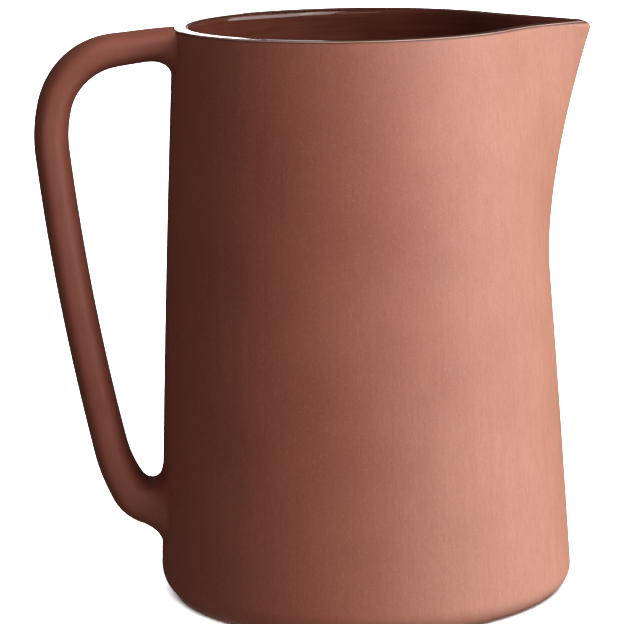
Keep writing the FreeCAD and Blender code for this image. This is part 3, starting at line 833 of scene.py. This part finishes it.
def make_camera():
    """The photo's viewpoint: a little above the rim, looking down, with a slight roll."""
    right = Vector((1, 0, 0))
    forward = Vector((0, math.cos(CAMERA_PITCH), -math.sin(CAMERA_PITCH)))
    up = right.cross(forward)
    rolled_right = math.cos(CAMERA_ROLL) * right + math.sin(CAMERA_ROLL) * up
    rolled_up = math.cos(CAMERA_ROLL) * up - math.sin(CAMERA_ROLL) * right
    axes = TURN @ Matrix((rolled_right, rolled_up, -forward)).transposed()
    camera = bpy.data.objects.new("camera", bpy.data.cameras.new("camera"))
    camera.data.lens = CAMERA_LENS
    camera.data.sensor_width = CAMERA_SENSOR
    camera.data.clip_start, camera.data.clip_end = CAMERA_REACH
    place = TURN @ Vector((CAMERA_SIDE, -CAMERA_DISTANCE, CAMERA_HEIGHT))
    camera.matrix_world = Matrix.Translation(place) @ axes.to_4x4()
    bpy.context.scene.collection.objects.link(camera)
    bpy.context.scene.camera = camera


WHITE = (1, 1, 1)
WARM = (1.0, 0.76, 0.66)  # for the weak lights from the front, as the photo's shaded side is warm


def softbox(name, azimuth, elevation, distance, width, height, power, lit, colour=WHITE):
    """A rectangular soft light aimed at the pitcher's middle, on the objects given.

    Its azimuth is counted in degrees from the camera's side to the right.
    """
    azimuth, elevation = math.radians(azimuth), math.radians(elevation)
    away = TURN @ Vector((
        math.sin(azimuth) * math.cos(elevation),
        -math.cos(azimuth) * math.cos(elevation),
        math.sin(elevation),
    ))
    data = bpy.data.lights.new(name, "AREA")
    data.shape = "RECTANGLE"
    data.size, data.size_y = width, height
    data.energy = power
    data.color = colour
    light = bpy.data.objects.new(name, data)
    light.location = Vector((0, 0, RIM_HEIGHT / 2)) + away * distance
    light.rotation_mode = "QUATERNION"
    light.rotation_quaternion = away.to_track_quat("Z", "Y")
    light.visible_camera = False
    lights_only(light, lit)
    bpy.context.scene.collection.objects.link(light)


def lights_only(light, lit):
    """Keep a light to the objects given."""
    chosen = bpy.data.collections.new(light.name + "_receivers")
    for item in lit:
        chosen.objects.link(item)
    light.light_linking.receiver_collection = chosen


FLOOR_HALF = 8.0  # half the floor's side
FLOOR_GREY = 0.9
FLOOR_SUN_POWER = 15.0
FLOOR_SUN_SPREAD = math.radians(85)
FLOOR_SUN_TILT = math.radians(3)


def make_floor():
    """A wide pale floor. Its own light from above keeps it even, with a contact shadow."""
    corners = [(x * FLOOR_HALF, y * FLOOR_HALF, 0) for x, y in ((-1, -1), (1, -1), (1, 1), (-1, 1))]
    mesh = bpy.data.meshes.new("floor")
    mesh.from_pydata(corners, [], [(0, 1, 2, 3)])
    floor = bpy.data.objects.new("floor", mesh)
    material = bpy.data.materials.new("floor")
    material.use_nodes = True
    shader = material.node_tree.nodes["Principled BSDF"]
    shader.inputs["Base Color"].default_value = (FLOOR_GREY, FLOOR_GREY, FLOOR_GREY, 1)
    shader.inputs["Roughness"].default_value = 0.9
    shader.inputs["Specular IOR Level"].default_value = 0.1
    mesh.materials.append(material)
    bpy.context.scene.collection.objects.link(floor)
    floor.visible_diffuse = False
    floor.visible_glossy = False
    floor.visible_shadow = False  # the two bounce lights stand below the floor and shine through it
    sun = bpy.data.objects.new("floor_light", bpy.data.lights.new("floor_light", "SUN"))
    sun.data.energy = FLOOR_SUN_POWER
    sun.data.angle = FLOOR_SUN_SPREAD
    sun.rotation_euler = (0, FLOOR_SUN_TILT, 0)
    lights_only(sun, [floor])
    bpy.context.scene.collection.objects.link(sun)


def make_world(fill, bounce, reflected):
    """White where the camera looks past the pitcher, and dimmer as a light.

    Matte surfaces get `fill` from above and `bounce` from below, and glossy ones reflect `reflected`.
    """
    world = bpy.data.worlds.new("studio")
    world.use_nodes = True
    tree = world.node_tree

    def blend(value, start, end, low=0.0):
        """The value mapped from low..1 to start..end, each of these a number or a socket."""
        node = tree.nodes.new("ShaderNodeMapRange")
        node.inputs["From Min"].default_value = low
        tree.links.new(value, node.inputs["Value"])
        for socket, setting in ((node.inputs["To Min"], start), (node.inputs["To Max"], end)):
            if isinstance(setting, float):
                socket.default_value = setting
            else:
                tree.links.new(setting, socket)
        return node.outputs["Result"]

    path = tree.nodes.new("ShaderNodeLightPath")
    direction = tree.nodes.new("ShaderNodeSeparateXYZ")
    tree.links.new(tree.nodes.new("ShaderNodeTexCoord").outputs["Generated"], direction.inputs["Vector"])
    matte = blend(direction.outputs["Z"], bounce, fill, low=-1.0)
    glossy = blend(path.outputs["Is Glossy Ray"], matte, reflected)
    seen = blend(path.outputs["Is Camera Ray"], glossy, 1.0)
    tree.links.new(seen, tree.nodes["Background"].inputs["Strength"])
    tree.nodes["Background"].inputs["Color"].default_value = (1, 1, 1, 1)
    bpy.context.scene.world = world


pitcher = [item for item in bpy.context.scene.objects if item.type == "MESH"]
make_camera()
make_floor()
make_world(fill=0.04, bounce=0.14, reflected=0.03)
softbox(
    "key", azimuth=70, elevation=30, distance=0.95,
    width=1.2, height=1.2, power=19.8, lit=pitcher,
)
softbox(
    "front", azimuth=-8, elevation=12, distance=1.5,
    width=0.8, height=0.6, power=2.9, lit=pitcher, colour=WARM,
)
softbox(
    "side_bounce", azimuth=75, elevation=-32, distance=0.7,
    width=1.2, height=0.5, power=3.0, lit=pitcher,
)
softbox(
    "front_bounce", azimuth=-30, elevation=-40, distance=0.4,
    width=0.6, height=0.4, power=0.07, lit=pitcher, colour=WARM,
)
# These are not one studio's light: three panels are only there for the glaze and one for the strap.
softbox(
    "back_panel", azimuth=198, elevation=16, distance=0.8,
    width=0.40, height=0.19, power=1.1, lit=[coat],
)
softbox(
    "back_edge", azimuth=181.3, elevation=26, distance=0.84,
    width=0.036, height=0.5, power=0.035, lit=[coat],
)
softbox(
    "handle_top", azimuth=-20, elevation=76, distance=0.8,
    width=0.5, height=0.5, power=0.8, lit=[strap],
)
softbox(
    "front_panel", azimuth=25, elevation=35, distance=0.95,
    width=0.42, height=0.9, power=4.5, lit=[coat],
)
bpy.context.scene.view_settings.view_transform = "Standard"
